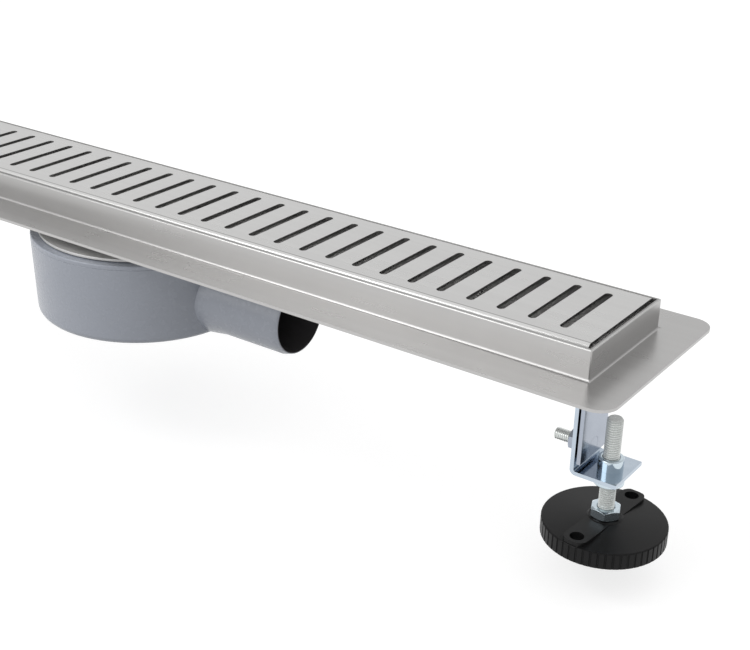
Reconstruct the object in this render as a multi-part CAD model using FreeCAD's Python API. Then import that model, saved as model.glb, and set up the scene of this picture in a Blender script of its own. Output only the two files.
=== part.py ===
import FreeCAD
import Part
import math
import os

# Linear shower drain: a slotted steel cover in a flanged steel channel, a round
# grey trap under its middle and a screw foot under each end.
# X runs along the channel, Y across it (the front is -Y) and Z up from the floor.
# All sizes are in millimetres.

# How far a cutting shape runs past what it cuts
CUT_PAST = 1.0

# Channel: the long sides are folded, and flat ends are welded in and ground round
CHANNEL_LENGTH = 600.0
CHANNEL_WIDTH = 71.0
CHANNEL_DEPTH = 21.5
CHANNEL_SHEET = 1.5
CHANNEL_BEND_R = 2.0
CHANNEL_WELD_R = 1.0
RIM_HEIGHT = 112.0
UPSTAND = 15.0
FLANGE_SIDE = 22.0
FLANGE_END = 20.3
FLANGE_CORNER_R = 10.0
FOLD_R = 1.5

# Slotted cover, folded down along both long sides
COVER_SHEET = 1.5
COVER_SIDE_PLAY = 0.2
COVER_END_GAP = 1.6
COVER_PROUD = 1.0
COVER_BEND_R = 3.0
SLOT_PITCH = 16.35
SLOT_END_MARGIN = 15.0
SLOT_SHIFT = 1.3
SLOT_WIDTH = 4.2
SLOT_LENGTH = 47.5

# Steel disc welded under the channel, and the rubber ring below it
DISC_R = 58.3
DISC_SHEET = 1.5
RING_SEAL_PROUD = 0.6
RING_SEAL_DEPTH = 2.4
RING_SEAL_WIDTH = 6.0
RING_SEAL_BED = 1.6

# Plastic clamp ring that passes down through the outlet
CLAMP_LIP_WIDTH = 5.0
CLAMP_WALL = 2.2
CLAMP_LENGTH = 20.0
CLAMP_LIP_PLAY = 1.3
CLAMP_LIP = 2.2
CLAMP_SEAL = 1.2
OUTLET_PLAY = 0.5
THREAD_PLAY = 0.1
LEDGE_DROP = 7.5
LEDGE = 2.0
LEDGE_WIDTH = 3.6

# Trap pot with its lid
POT_TOP_R = 62.8
POT_DRAFT = 1.6
POT_HEIGHT = 44.4
POT_WALL = 2.2
POT_FLOOR = 2.5
POT_EDGE_R = 4.0
LID_DECK = 2.5
LID_SPIGOT = 4.0
LID_FIT = 0.1
NECK_WALL = 3.0
NECK_DEPTH = 16.0

# Waste pipe, moulded with the pot
PIPE_R = 20.5
PIPE_WALL = 1.9
PIPE_REACH = 113.3
PIPE_DROP = 0.5
PIPE_CHAMFER = 1.2
PIPE_CHAMFER_LENGTH = 4.0
SADDLE_FLARE = 1.6
SADDLE_LENGTH = 9.0

# Water seal inside the trap
DIP_R = 11.5
DIP_WALL = 1.5
DIP_LIP = 1.8
DIP_PLAY = 0.3
DIP_SEAL_R = 0.9
CUP_PLAY = 0.8
CUP_WALL = 1.3
CUP_HEIGHT = 26.0
CUP_LIFT = 1.5
SEAL_GAP = 5.0
FIN_COUNT = 3
FIN_THICKNESS = 1.6
FIN_HEIGHT = 11.0
FIN_PLAY = 0.1
FIN_START = 60.0

# Hair strainer
STRAINER_SHEET = 1.2
STRAINER_RISE = 4.0
STRAINER_RIM = 3.0
STRAINER_HOLE_R = 1.6
STRAINER_ROW_PITCH = 4.6
STRAINER_HOLE_PITCH = 5.2
KNOB_MARGIN = 1.0
KNOB_R = 3.0
KNOB_HEIGHT = 5.0

# Foot: hanger strip, bracket and bolt
FOOT_INSET = 1.0
BRACKET_REACH = 14.3
BRACKET_LEG = 24.0
BRACKET_WIDTH = 28.0
BRACKET_SHEET = 2.0
BRACKET_DROP = 74.9
BRACKET_BEND_R = 1.0
HANGER_SHEET = 2.0
HANGER_WIDTH = 26.0
HANGER_LEG = 18.0
HANGER_GAP = 0.7
JOGGLE_DROP = 41.0
JOGGLE_PLAY = 0.3
HANGER_TIP_GAP = 3.6
STUD_R = 3.0
STUD_HEAD_R = 4.3
STUD_CHAMFER = 0.6
STUD_REACH = 15.2
STUD_RISE = 8.9
STUD_PLAY = 0.2
STUD_SLOT_TRAVEL = 5.0
WASHER_R = 6.0
WASHER = 1.6
STUD_NUT_FLATS = 10.0
STUD_NUT_HEIGHT = 5.0

# Foot: threaded bush, rod, nut and pad
ROD_R = 4.0
ROD_LENGTH = 59.5
ROD_CHAMFER = 0.8
ROD_END_PLAY = 0.2
RUNNING_PLAY = 0.05
BUSH_R = 6.2
BUSH_RISE = 6.1
BUSH_COLLAR_R = 7.4
BUSH_COLLAR = 6.0
BUSH_CHAMFER = 0.8
ROD_NUT_FLATS = 13.6
ROD_NUT_HEIGHT = 5.0
ROD_NUT_TURN = -8.0
NUT_PLAY = 0.02
NUT_MOUTH = 0.6
NUT_FACE_EASE = 0.3
NUT_CHAMFER_SLOPE = 30.0
NUT_LIFT = 0.1
PAD_R = 30.5
PAD_RIM = 8.5
PAD_SKIN = 2.5
PAD_CHAMFER = 0.7
PAD_WALL = 3.2
PAD_DOME = 10.4
PAD_BOSS_R = 8.5
PAD_BOSS = 11.0
PAD_BASE = 4.0
PAD_RIB_COUNT = 8
PAD_RIB = 1.8
PAD_RIB_LIFT = 1.0
FLUTE_COUNT = 54
FLUTE_R = 0.55
LUG_R = 6.2
LUG_TOP = 10.6
LUG_SPREAD = 24.5
LUG_TURN = 84.5
LUG_HOLE_R = 3.5

# Levels and radii that follow from the sizes above
flange_top = RIM_HEIGHT - UPSTAND
floor_under = RIM_HEIGHT - CHANNEL_DEPTH
cover_side_gap = CHANNEL_BEND_R - CHANNEL_SHEET + COVER_SIDE_PLAY
cover_width = CHANNEL_WIDTH - 2 * (CHANNEL_SHEET + cover_side_gap)
floor_top = floor_under + CHANNEL_SHEET
disc_under = floor_under - DISC_SHEET
deck_top = disc_under - RING_SEAL_PROUD
pot_top = deck_top - LID_DECK
pot_under = pot_top - POT_HEIGHT
pot_base_r = POT_TOP_R - POT_DRAFT
pot_floor = pot_under + POT_FLOOR
pipe_axis = pot_under - PIPE_DROP + PIPE_R
clamp_lip_r = cover_width / 2 - COVER_SHEET - CLAMP_LIP_PLAY
clamp_r = clamp_lip_r - CLAMP_LIP_WIDTH
clamp_bore = clamp_r - CLAMP_WALL
outlet_r = clamp_r + OUTLET_PLAY
neck_r = clamp_r + THREAD_PLAY + NECK_WALL
ledge_top = floor_top - LEDGE_DROP
ledge_bore = clamp_bore - LEDGE_WIDTH
lip_seat = ledge_top + 2 * DIP_SEAL_R
cup_under = pot_floor + CUP_LIFT
cup_rim = cup_under + CUP_HEIGHT
cup_r = ledge_bore - CUP_PLAY
cup_bore = cup_r - CUP_WALL
dip_end = cup_under + CUP_WALL + SEAL_GAP
foot_x = CHANNEL_LENGTH / 2 - FOOT_INSET
back_x = foot_x - BRACKET_REACH
plate_top = RIM_HEIGHT - BRACKET_DROP
plate_under = plate_top - BRACKET_SHEET
stud_z = plate_top + STUD_RISE
joggle_z = RIM_HEIGHT - JOGGLE_DROP
tab_x = back_x + BRACKET_SHEET + HANGER_GAP
rod_foot = PAD_BASE + ROD_END_PLAY
nut_z = PAD_BOSS + NUT_LIFT

UP = FreeCAD.Vector(0, 0, 1)
OUT = FreeCAD.Vector(1, 0, 0)
ORIGIN = FreeCAD.Vector(0, 0, 0)


def block(x_low, x_high, y_low, y_high, z_low, z_high):
    """Return a box between two corners."""
    corner = FreeCAD.Vector(x_low, y_low, z_low)
    return Part.makeBox(x_high - x_low, y_high - y_low, z_high - z_low, corner)


def turned(points, x=0.0):
    """Turn a closed outline of (radius, height) points about an upright axis."""
    outline = [FreeCAD.Vector(x + radius, 0, height) for radius, height in points]
    face = Part.Face(Part.makePolygon(outline + outline[:1]))
    return face.revolve(FreeCAD.Vector(x, 0, 0), UP, 360)


def round_bar(radius, z_low, z_high, x=0.0, y=0.0):
    """Return an upright cylinder."""
    return Part.makeCylinder(radius, z_high - z_low, FreeCAD.Vector(x, y, z_low), UP)


def upright_edges(shape):
    """Return the straight edges that run along Z."""
    found = []
    for edge in shape.Edges:
        if len(edge.Vertexes) != 2:
            continue
        run = edge.Vertexes[1].Point - edge.Vertexes[0].Point
        if abs(run.x) + abs(run.y) < 1e-6 < abs(run.z):
            found.append(edge)
    return found


def level_edges(shape, height):
    """Return every edge that lies wholly at one height."""
    found = []
    for edge in shape.Edges:
        box = edge.BoundBox
        if abs(box.ZMin - height) < 1e-4 and abs(box.ZMax - height) < 1e-4:
            found.append(edge)
    return found


def lengthwise_edges(shape, height):
    """Return the edges along X at one height."""
    return [e for e in level_edges(shape, height) if e.BoundBox.XLength > CUT_PAST]


def cross_edges(shape, x, z):
    """Return the edges along Y that pass through one point of the X-Z plane."""
    found = []
    for edge in shape.Edges:
        box = edge.BoundBox
        thin = box.XLength < 1e-4 and box.ZLength < 1e-4
        if thin and abs(box.XMin - x) < 1e-3 and abs(box.ZMin - z) < 1e-3:
            found.append(edge)
    return found


def round_bend(shape, outer, inner, radius, sheet):
    """Round one bend of a folded strip, outside and inside."""
    shape = shape.makeFillet(radius + sheet, cross_edges(shape, *outer))
    return shape.makeFillet(radius, cross_edges(shape, *inner))


def rounded_block(length, width, corner_r, z_low, z_high):
    """Return a centred block with rounded upright edges."""
    body = block(-length / 2, length / 2, -width / 2, width / 2, z_low, z_high)
    return body.makeFillet(corner_r, upright_edges(body))


def make_channel():
    """Make the channel: a trough whose walls stand above a flange all round."""
    half_x = CHANNEL_LENGTH / 2
    half_y = CHANNEL_WIDTH / 2
    trough = block(-half_x, half_x, -half_y, half_y, floor_under, RIM_HEIGHT)
    trough = trough.makeFillet(CHANNEL_BEND_R, lengthwise_edges(trough, floor_under))
    trough = trough.makeFillet(CHANNEL_WELD_R, upright_edges(trough))
    inner_x = half_x - CHANNEL_SHEET
    inner_y = half_y - CHANNEL_SHEET
    hollow = block(
        -inner_x, inner_x, -inner_y, inner_y, floor_top, RIM_HEIGHT + CUT_PAST)
    hollow = hollow.makeFillet(
        CHANNEL_BEND_R - CHANNEL_SHEET, lengthwise_edges(hollow, floor_top))
    flange = rounded_block(
        CHANNEL_LENGTH + 2 * FLANGE_END, CHANNEL_WIDTH + 2 * FLANGE_SIDE,
        FLANGE_CORNER_R, flange_top - CHANNEL_SHEET, flange_top)
    body = trough.fuse(flange).removeSplitter()
    fold = [
        edge for edge in level_edges(body, flange_top)
        if edge.BoundBox.YMax < (CHANNEL_WIDTH + FLANGE_SIDE) / 2
        and edge.BoundBox.YMin > -(CHANNEL_WIDTH + FLANGE_SIDE) / 2]
    body = body.makeFillet(FOLD_R, fold)
    outlet = round_bar(outlet_r, floor_under - CUT_PAST, floor_top + CUT_PAST)
    return body.cut(hollow).cut(outlet)


def make_cover():
    """Make the slotted cover: one sheet with both long sides folded down."""
    length = CHANNEL_LENGTH - 2 * (CHANNEL_SHEET + COVER_END_GAP)
    top = RIM_HEIGHT + COVER_PROUD
    inner = cover_width - 2 * COVER_SHEET
    outside = block(
        -length / 2, length / 2, -cover_width / 2, cover_width / 2, floor_top, top)
    outside = outside.makeFillet(COVER_BEND_R, lengthwise_edges(outside, top))
    inside = block(
        -length / 2 - CUT_PAST, length / 2 + CUT_PAST, -inner / 2, inner / 2,
        floor_top - CUT_PAST, top - COVER_SHEET)
    inside = inside.makeFillet(
        COVER_BEND_R - COVER_SHEET, lengthwise_edges(inside, top - COVER_SHEET))
    straight = SLOT_LENGTH - SLOT_WIDTH
    slot_under = top - COVER_SHEET - CUT_PAST
    slot_over = top + CUT_PAST
    room = length - 2 * SLOT_END_MARGIN - SLOT_WIDTH
    slot_count = int(room / SLOT_PITCH) + 1
    slots = []
    for number in range(slot_count):
        x = (number - (slot_count - 1) / 2) * SLOT_PITCH + SLOT_SHIFT
        slot = block(
            x - SLOT_WIDTH / 2, x + SLOT_WIDTH / 2, -straight / 2, straight / 2,
            slot_under, slot_over)
        for side in (-1, 1):
            end = round_bar(
                SLOT_WIDTH / 2, slot_under, slot_over, x, side * straight / 2)
            slot = slot.fuse(end)
        slots.append(slot.removeSplitter())
    return outside.cut(inside).cut(Part.makeCompound(slots))


def make_outlet_disc():
    """Make the round steel disc that is welded under the channel's floor."""
    return turned([
        (outlet_r, disc_under), (DISC_R, disc_under),
        (DISC_R, floor_under), (outlet_r, floor_under)])


def make_ring_seal():
    """Make the rubber ring between the lid and the disc."""
    inner = neck_r + RING_SEAL_BED
    return turned([
        (inner, deck_top - RING_SEAL_DEPTH),
        (inner + RING_SEAL_WIDTH, deck_top - RING_SEAL_DEPTH),
        (inner + RING_SEAL_WIDTH, disc_under), (inner, disc_under)])


def make_lid():
    """Make the trap's lid: a deck with a groove for the seal and a threaded neck."""
    bore = clamp_r + THREAD_PLAY
    groove = neck_r + RING_SEAL_BED
    bed_r = groove + RING_SEAL_WIDTH
    boss_r = bed_r + RING_SEAL_BED
    boss_under = deck_top - RING_SEAL_DEPTH - RING_SEAL_BED
    spigot_r = POT_TOP_R - POT_WALL - LID_FIT
    taper = POT_DRAFT / POT_HEIGHT * LID_SPIGOT
    return turned([
        (bore, deck_top), (groove, deck_top),
        (groove, deck_top - RING_SEAL_DEPTH), (bed_r, deck_top - RING_SEAL_DEPTH),
        (bed_r, deck_top), (POT_TOP_R, deck_top),
        (POT_TOP_R, pot_top), (spigot_r, pot_top),
        (spigot_r - taper, pot_top - LID_SPIGOT),
        (spigot_r - POT_WALL, pot_top - LID_SPIGOT),
        (spigot_r - POT_WALL, pot_top), (boss_r, pot_top),
        (boss_r, boss_under), (neck_r, boss_under),
        (neck_r, deck_top - NECK_DEPTH), (bore, deck_top - NECK_DEPTH)])


def make_clamp_ring():
    """Make the clamp ring: its lip pulls the lid up against the disc."""
    lip_under = floor_top + CLAMP_SEAL
    end = floor_top - CLAMP_LENGTH
    return turned([
        (clamp_bore, lip_under + CLAMP_LIP), (clamp_lip_r, lip_under + CLAMP_LIP),
        (clamp_lip_r, lip_under), (clamp_r, lip_under),
        (clamp_r, end), (clamp_bore, end),
        (clamp_bore, ledge_top - LEDGE), (ledge_bore, ledge_top - LEDGE),
        (ledge_bore, ledge_top), (clamp_bore, ledge_top)])


def make_clamp_seal():
    """Make the flat rubber ring under the clamp ring's lip."""
    return turned([
        (outlet_r, floor_top), (clamp_lip_r, floor_top),
        (clamp_lip_r, floor_top + CLAMP_SEAL), (outlet_r, floor_top + CLAMP_SEAL)])


def make_trap_pot():
    """Make the trap's pot with its waste pipe, one moulding."""
    outside = turned([
        (0, pot_under), (pot_base_r, pot_under), (POT_TOP_R, pot_top), (0, pot_top)])
    outside = outside.makeFillet(POT_EDGE_R, level_edges(outside, pot_under))
    cavity = turned([
        (0, pot_floor), (pot_base_r - POT_WALL, pot_floor),
        (POT_TOP_R - POT_WALL, pot_top), (POT_TOP_R - POT_WALL, pot_top + CUT_PAST),
        (0, pot_top + CUT_PAST)])
    cavity = cavity.makeFillet(POT_EDGE_R - POT_WALL, level_edges(cavity, pot_floor))
    start = FreeCAD.Vector(0, 0, pipe_axis)
    straight = PIPE_REACH - PIPE_CHAMFER_LENGTH
    pipe = Part.makeCylinder(PIPE_R, straight, start, OUT)
    tip = Part.makeCone(
        PIPE_R, PIPE_R - PIPE_CHAMFER, PIPE_CHAMFER_LENGTH,
        start + OUT * straight, OUT)
    root = math.sqrt(pot_base_r ** 2 - PIPE_R ** 2)
    saddle = Part.makeCone(
        PIPE_R + SADDLE_FLARE, PIPE_R, SADDLE_LENGTH + POT_TOP_R - root,
        start + OUT * root, OUT)
    near = root - CUT_PAST
    low = block(
        near, PIPE_REACH, -POT_TOP_R, POT_TOP_R, pot_under - PIPE_R, pipe_axis - PIPE_R)
    high = block(near, PIPE_REACH, -POT_TOP_R, POT_TOP_R, pot_top, RIM_HEIGHT)
    saddle = saddle.cut(low).cut(high)
    bore = Part.makeCylinder(PIPE_R - PIPE_WALL, PIPE_REACH + CUT_PAST, start, OUT)
    body = outside.fuse(pipe).fuse(tip).fuse(saddle).removeSplitter()
    return body.cut(cavity).cut(bore)


def make_dip_tube():
    """Make the dip tube: its lip sits on the clamp ring, its fins hold the cup."""
    bore = DIP_R - DIP_WALL
    lip_r = clamp_bore - DIP_PLAY
    tube = turned([
        (bore, lip_seat), (bore, dip_end), (DIP_R, dip_end),
        (DIP_R, lip_seat), (lip_r, lip_seat), (lip_r, lip_seat + DIP_LIP),
        (bore, lip_seat + DIP_LIP)])
    fin_r = cup_bore - FIN_PLAY
    fin = block(
        (bore + DIP_R) / 2, fin_r, -FIN_THICKNESS / 2, FIN_THICKNESS / 2,
        cup_rim - FIN_HEIGHT, cup_rim)
    shoulder = block(
        (bore + DIP_R) / 2, cup_r, -FIN_THICKNESS / 2, FIN_THICKNESS / 2,
        cup_rim, cup_rim + FIN_THICKNESS)
    fin = fin.fuse(shoulder)
    for number in range(FIN_COUNT):
        arm = fin.copy()
        arm.rotate(ORIGIN, UP, FIN_START + number * 360 / FIN_COUNT)
        tube = tube.fuse(arm)
    return tube.removeSplitter()


def make_dip_seal():
    """Make the rubber ring between the dip tube's lip and the clamp ring's ledge."""
    mid_r = (clamp_bore + ledge_bore) / 2
    return Part.makeTorus(mid_r, DIP_SEAL_R, FreeCAD.Vector(0, 0, ledge_top + DIP_SEAL_R))


def make_cup():
    """Make the cup that holds the water seal and hangs on the dip tube's fins."""
    return turned([
        (0, cup_under), (cup_r, cup_under), (cup_r, cup_rim), (cup_bore, cup_rim),
        (cup_bore, cup_under + CUP_WALL), (0, cup_under + CUP_WALL)])


def make_strainer():
    """Make the hair strainer: a rim on the dip tube's lip and a raised, holed deck."""
    rest = lip_seat + DIP_LIP
    deck = rest + STRAINER_RISE
    outer = clamp_bore - DIP_PLAY
    wall_r = outer - STRAINER_RIM
    dome = turned([
        (0, deck), (wall_r - STRAINER_SHEET, deck), (wall_r - STRAINER_SHEET, rest),
        (outer, rest), (outer, rest + STRAINER_SHEET), (wall_r, rest + STRAINER_SHEET),
        (wall_r, deck + STRAINER_SHEET), (0, deck + STRAINER_SHEET)])
    first_r = KNOB_R + KNOB_MARGIN + STRAINER_HOLE_R
    last_r = wall_r - STRAINER_SHEET - KNOB_MARGIN - STRAINER_HOLE_R
    holes = []
    for row in range(int((last_r - first_r) / STRAINER_ROW_PITCH) + 1):
        ring_r = first_r + row * STRAINER_ROW_PITCH
        count = int(2 * math.pi * ring_r / STRAINER_HOLE_PITCH)
        for number in range(count):
            angle = 2 * math.pi * number / count
            holes.append(round_bar(
                STRAINER_HOLE_R, deck - CUT_PAST, deck + STRAINER_SHEET + CUT_PAST,
                ring_r * math.cos(angle), ring_r * math.sin(angle)))
    knob = round_bar(KNOB_R, deck, deck + STRAINER_SHEET + KNOB_HEIGHT)
    return dome.cut(Part.makeCompound(holes)).fuse(knob).removeSplitter()


def hexagon(flats, z_low, z_high, x, turn):
    """Return an upright hexagonal bar with one corner at an angle from +X."""
    corner_r = flats / math.sqrt(3)
    points = []
    for number in range(7):
        angle = math.radians(turn + 60 * number)
        points.append(FreeCAD.Vector(
            x + corner_r * math.cos(angle), corner_r * math.sin(angle), z_low))
    face = Part.Face(Part.makePolygon(points))
    return face.extrude(UP * (z_high - z_low))


def chamfered_nut(flats, height, bore_r, z_low, x, turn):
    """Return a hexagon nut with both its faces chamfered at the corners."""
    corner_r = flats / math.sqrt(3)
    face_r = flats / 2 - NUT_FACE_EASE
    drop = (corner_r - face_r) * math.tan(math.radians(NUT_CHAMFER_SLOPE))
    nut = hexagon(flats, z_low, z_low + height, x, turn)
    envelope = turned([
        (0, z_low), (face_r, z_low), (corner_r, z_low + drop),
        (corner_r, z_low + height - drop), (face_r, z_low + height),
        (0, z_low + height)], x)
    nut = nut.common(envelope)
    mouth = bore_r + NUT_MOUTH
    top = z_low + height
    hole = turned([
        (0, z_low - CUT_PAST), (bore_r, z_low - CUT_PAST), (bore_r, top - NUT_MOUTH),
        (mouth, top), (mouth, top + CUT_PAST), (0, top + CUT_PAST)], x)
    return nut.cut(hole)


def laid_along_channel(shape, x):
    """Turn a shape built upright at x so that its axis points back along -X."""
    shape.rotate(FreeCAD.Vector(x, 0, 0), FreeCAD.Vector(0, 1, 0), -90)
    shape.translate(FreeCAD.Vector(0, 0, stud_z))
    return shape


def make_hanger():
    """Make the hanger: a strip with a welded top leg and a stepped tab."""
    half = HANGER_WIDTH / 2
    web_x = back_x + HANGER_SHEET
    leg_under = floor_under - HANGER_SHEET
    step_top = joggle_z + HANGER_SHEET
    tab_end = tab_x + HANGER_SHEET
    leg = block(web_x - HANGER_LEG, web_x, -half, half, leg_under, floor_under)
    web = block(back_x, web_x, -half, half, joggle_z, floor_under)
    step = block(back_x, tab_end, -half, half, joggle_z, step_top)
    tab = block(tab_x, tab_end, -half, half, plate_top + HANGER_TIP_GAP, step_top)
    strip = leg.fuse(web).fuse(step).fuse(tab).removeSplitter()
    strip = round_bend(
        strip, (web_x, floor_under), (back_x, leg_under), BRACKET_BEND_R, HANGER_SHEET)
    for corner in ((back_x, joggle_z), (tab_end, step_top)):
        strip = strip.makeFillet(BRACKET_BEND_R, cross_edges(strip, *corner))
    head = Part.makeCylinder(
        STUD_HEAD_R, HANGER_SHEET + 2 * CUT_PAST,
        FreeCAD.Vector(tab_x - CUT_PAST, 0, stud_z), OUT)
    return strip.cut(head)


def make_stud():
    """Make the stud: a flush head pressed into the tab, and a thread behind it."""
    start = FreeCAD.Vector(back_x - STUD_REACH, 0, stud_z)
    shank = Part.makeCylinder(STUD_R, tab_x - start.x, start, OUT)
    head_length = HANGER_GAP + HANGER_SHEET
    head = Part.makeCylinder(
        STUD_HEAD_R, head_length, FreeCAD.Vector(tab_x - HANGER_GAP, 0, stud_z), OUT)
    stud = shank.fuse(head).removeSplitter()
    tip = [
        edge for edge in stud.Edges
        if edge.BoundBox.XMax < start.x + 1e-4 and edge.BoundBox.XLength < 1e-4]
    return stud.makeChamfer(STUD_CHAMFER, tip)


def make_stud_washer():
    """Make the flat washer between the bracket and the stud's nut."""
    bore = STUD_R + STUD_PLAY
    ring = turned([
        (bore, 0), (WASHER_R, 0), (WASHER_R, WASHER), (bore, WASHER)], back_x)
    return laid_along_channel(ring, back_x)


def make_stud_nut():
    """Make the hexagon nut that holds the bracket on the stud."""
    nut = chamfered_nut(
        STUD_NUT_FLATS, STUD_NUT_HEIGHT, STUD_R + NUT_PLAY, WASHER, back_x, 0)
    return laid_along_channel(nut, back_x)


def make_bracket():
    """Make the angle bracket: slotted upright leg, bored flat leg."""
    half = BRACKET_WIDTH / 2
    web_x = back_x + BRACKET_SHEET
    web = block(back_x, web_x, -half, half, plate_under, joggle_z - JOGGLE_PLAY)
    plate = block(back_x, back_x + BRACKET_LEG, -half, half, plate_under, plate_top)
    angle = web.fuse(plate).removeSplitter()
    angle = round_bend(
        angle, (back_x, plate_under), (web_x, plate_top), BRACKET_BEND_R, BRACKET_SHEET)
    slot_r = STUD_R + STUD_PLAY
    near = back_x - CUT_PAST
    depth = BRACKET_SHEET + 2 * CUT_PAST
    slot = block(
        near, near + depth, -slot_r, slot_r, stud_z, stud_z + STUD_SLOT_TRAVEL)
    for rise in (0, STUD_SLOT_TRAVEL):
        start = FreeCAD.Vector(near, 0, stud_z + rise)
        slot = slot.fuse(Part.makeCylinder(slot_r, depth, start, OUT))
    hole = round_bar(BUSH_R, plate_under - CUT_PAST, plate_top + CUT_PAST, foot_x)
    return angle.cut(slot).cut(hole)


def make_bush():
    """Make the threaded bush: a round body through the bracket, a collar below."""
    bore = ROD_R + RUNNING_PLAY
    top = plate_top + BUSH_RISE
    bottom = plate_under - BUSH_COLLAR
    return turned([
        (bore, bottom), (BUSH_COLLAR_R, bottom), (BUSH_COLLAR_R, plate_under),
        (BUSH_R, plate_under), (BUSH_R, top - BUSH_CHAMFER),
        (BUSH_R - BUSH_CHAMFER, top), (bore + BUSH_CHAMFER, top),
        (bore, top - BUSH_CHAMFER)], foot_x)


def make_rod():
    """Make the foot's rod, with its thread left plain."""
    top = rod_foot + ROD_LENGTH
    tip_r = ROD_R - ROD_CHAMFER
    return turned([
        (0, rod_foot), (tip_r, rod_foot), (ROD_R, rod_foot + ROD_CHAMFER),
        (ROD_R, top - ROD_CHAMFER), (tip_r, top), (0, top)], foot_x)


def make_rod_nut():
    """Make the hexagon nut that is locked on the rod just above the pad."""
    return chamfered_nut(
        ROD_NUT_FLATS, ROD_NUT_HEIGHT, ROD_R + NUT_PLAY, nut_z, foot_x, ROD_NUT_TURN)


def make_pad():
    """Make the round foot pad: fluted edge, low dome and two screw lugs."""
    socket_r = ROD_R + RUNNING_PLAY
    wall_r = PAD_R - PAD_WALL
    body = turned([
        (0, PAD_BASE - PAD_SKIN), (PAD_BOSS_R, PAD_BASE - PAD_SKIN),
        (PAD_BOSS_R, PAD_DOME - PAD_SKIN), (wall_r, PAD_RIM - PAD_SKIN),
        (wall_r, 0), (PAD_R - PAD_CHAMFER, 0), (PAD_R, PAD_CHAMFER),
        (PAD_R, PAD_RIM - PAD_CHAMFER), (PAD_R - PAD_CHAMFER, PAD_RIM),
        (PAD_BOSS_R, PAD_DOME),
        (PAD_BOSS_R - (PAD_BOSS - PAD_DOME), PAD_BOSS), (0, PAD_BOSS)])
    for number in range(PAD_RIB_COUNT):
        rib = block(
            PAD_BOSS_R - CUT_PAST, wall_r + CUT_PAST, -PAD_RIB / 2, PAD_RIB / 2,
            PAD_RIB_LIFT, PAD_RIM - PAD_SKIN / 2)
        rib.rotate(ORIGIN, UP, 360 / PAD_RIB_COUNT * (number + 0.5))
        body = body.fuse(rib)
    bar = block(-LUG_SPREAD, LUG_SPREAD, -LUG_R, LUG_R, PAD_RIM - PAD_SKIN, LUG_TOP)
    holes = []
    for side in (-1, 1):
        x = side * LUG_SPREAD
        bar = bar.fuse(round_bar(LUG_R, PAD_RIB_LIFT, LUG_TOP, x))
        holes.append(round_bar(LUG_HOLE_R, -CUT_PAST, LUG_TOP + CUT_PAST, x))
    bar = bar.common(round_bar(PAD_R - PAD_CHAMFER, 0, LUG_TOP))
    bar = bar.cut(round_bar(PAD_BOSS_R - CUT_PAST, 0, PAD_DOME))
    body = body.fuse(bar).cut(Part.makeCompound(holes)).removeSplitter()
    flutes = []
    for number in range(FLUTE_COUNT):
        angle = 2 * math.pi * number / FLUTE_COUNT
        flutes.append(round_bar(
            FLUTE_R, -CUT_PAST, PAD_RIM + CUT_PAST,
            PAD_R * math.cos(angle), PAD_R * math.sin(angle)))
    socket = round_bar(socket_r, PAD_BASE, PAD_BOSS + CUT_PAST)
    body = body.cut(Part.makeCompound(flutes)).cut(socket)
    body.rotate(ORIGIN, UP, LUG_TURN)
    body.translate(FreeCAD.Vector(foot_x, 0, 0))
    return body


DRAIN_PARTS = {
    "channel": make_channel,
    "slotted_cover": make_cover,
    "outlet_disc": make_outlet_disc,
    "trap_pot": make_trap_pot,
    "trap_lid": make_lid,
    "trap_ring_seal": make_ring_seal,
    "clamp_ring": make_clamp_ring,
    "clamp_seal": make_clamp_seal,
    "dip_tube": make_dip_tube,
    "dip_tube_seal": make_dip_seal,
    "trap_cup": make_cup,
    "hair_strainer": make_strainer,
}

FOOT_PARTS = {
    "hanger": make_hanger,
    "stud": make_stud,
    "stud_washer": make_stud_washer,
    "stud_nut": make_stud_nut,
    "bracket": make_bracket,
    "bush": make_bush,
    "rod": make_rod,
    "rod_nut": make_rod_nut,
    "foot_pad": make_pad,
}


def save(name, shape):
    """Write one piece to its own file."""
    shape.exportStep(os.path.join("parts", name + ".step"))
    print("%-20s volume %10.1f valid %s solids %d" % (
        name, shape.Volume, shape.isValid(), len(shape.Solids)))


os.makedirs("parts", exist_ok=True)
for name, make in DRAIN_PARTS.items():
    save(name, make())
for name, make in FOOT_PARTS.items():
    right = make()
    left = right.copy()
    left.rotate(ORIGIN, UP, 180)
    save(name + "_right", right)
    save(name + "_left", left)
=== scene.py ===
import math
import bpy
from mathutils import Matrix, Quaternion, Vector


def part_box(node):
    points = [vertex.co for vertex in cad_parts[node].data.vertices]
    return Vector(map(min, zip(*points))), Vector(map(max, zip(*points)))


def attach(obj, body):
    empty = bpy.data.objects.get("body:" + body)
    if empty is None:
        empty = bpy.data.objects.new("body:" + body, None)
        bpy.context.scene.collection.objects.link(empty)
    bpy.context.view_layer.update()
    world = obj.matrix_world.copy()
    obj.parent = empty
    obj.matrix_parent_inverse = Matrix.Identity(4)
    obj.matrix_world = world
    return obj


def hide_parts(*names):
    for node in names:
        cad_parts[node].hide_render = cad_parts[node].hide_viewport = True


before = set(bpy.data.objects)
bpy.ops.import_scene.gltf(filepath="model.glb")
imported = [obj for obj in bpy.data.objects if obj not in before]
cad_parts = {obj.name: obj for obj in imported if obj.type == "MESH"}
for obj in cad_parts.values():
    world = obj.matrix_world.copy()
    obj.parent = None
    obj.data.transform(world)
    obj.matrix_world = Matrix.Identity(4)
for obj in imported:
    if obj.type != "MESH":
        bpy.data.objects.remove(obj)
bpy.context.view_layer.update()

# The floor is a pale sheet just below the feet at their lowest setting. It shows almost
# white to the camera and to the polished steel, and it takes the drain's faint shadow.
foot_travel = 0.020
floor_gap = 0.0005
bpy.ops.object.select_all(action="DESELECT")
bpy.ops.mesh.primitive_plane_add(size=12, location=(0, 0, -foot_travel - floor_gap))
floor = bpy.context.object
floor.name = "floor"
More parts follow.
